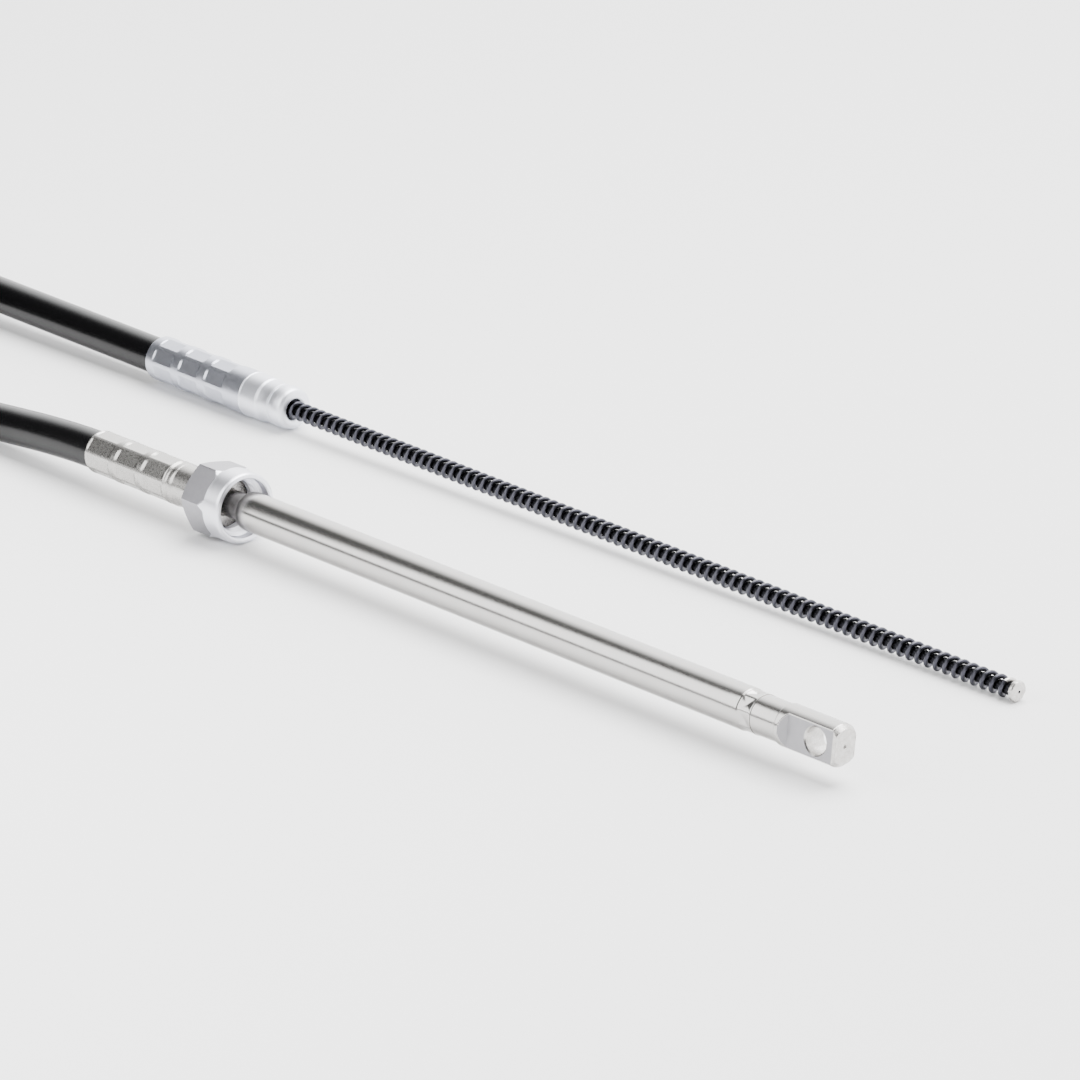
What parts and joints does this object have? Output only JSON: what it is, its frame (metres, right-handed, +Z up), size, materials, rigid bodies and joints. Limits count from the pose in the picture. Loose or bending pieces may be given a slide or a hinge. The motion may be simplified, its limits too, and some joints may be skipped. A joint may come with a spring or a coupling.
{
  "type": "boat steering cable",
  "caption": "Mechanical steering cable: helical core at the helm end, coiled black conduit, and a coupling nut with a sliding ram and its drilled eye at the output end.",
  "frame": {"origin": "on the floor, under the middle of the box round everything but the conduit", "axes": "+X along the ram towards its eye, +Y from the ram to the helm end, +Z up"},
  "size_m": [0.8171, 0.1935, 0.0322],
  "materials": {
    "aluminium": "turned, with a polished neck",
    "core_steel": "dark drawn wire, lightly oiled",
    "stainless": "satin ground",
    "plated_nut": "satin, with bright turned edges",
    "jacket": "smooth extruded plastic, soft sheen"
  },
  "bodies": {
    "cable": {"helm_ferrule": "aluminium", "output_ferrule": "stainless", "guide_tube": "stainless", "conduit_helm_run": "jacket", "conduit_coil": "jacket", "conduit_output_run": "jacket"},
    "core": {"core_strand": "core_steel", "helix_wire": "core_steel"},
    "rod": {"inner_rod": "core_steel"},
    "ram": {"ram_tube": "stainless", "ram_eye": "stainless"},
    "nut": {"coupling_nut": "plated_nut"}
  },
  "joints": [
    {"name": "ram_travel", "type": "slide", "parent": "cable", "child": "rod", "axis": [1, 0, 0], "range_m": [0, 0.2286]},
    {"name": "core_slide", "type": "slide", "parent": "cable", "child": "core", "axis": [0.9999, 0, -0.0131], "range_m": [-0.2286, 0]},
    {"name": "ram_swivel", "type": "hinge", "parent": "rod", "child": "ram", "pos_m": [0.07, -0.04822, 0.01465], "axis": [1, 0, 0], "continuous": true},
    {"name": "nut_spin", "type": "hinge", "parent": "cable", "child": "nut", "pos_m": [-0.09, -0.04822, 0.01465], "axis": [1, 0, 0], "continuous": true}
  ],
  "couplings": [
    {"joint": "core_slide", "follows": "ram_travel", "ratio": -1}
  ]
}
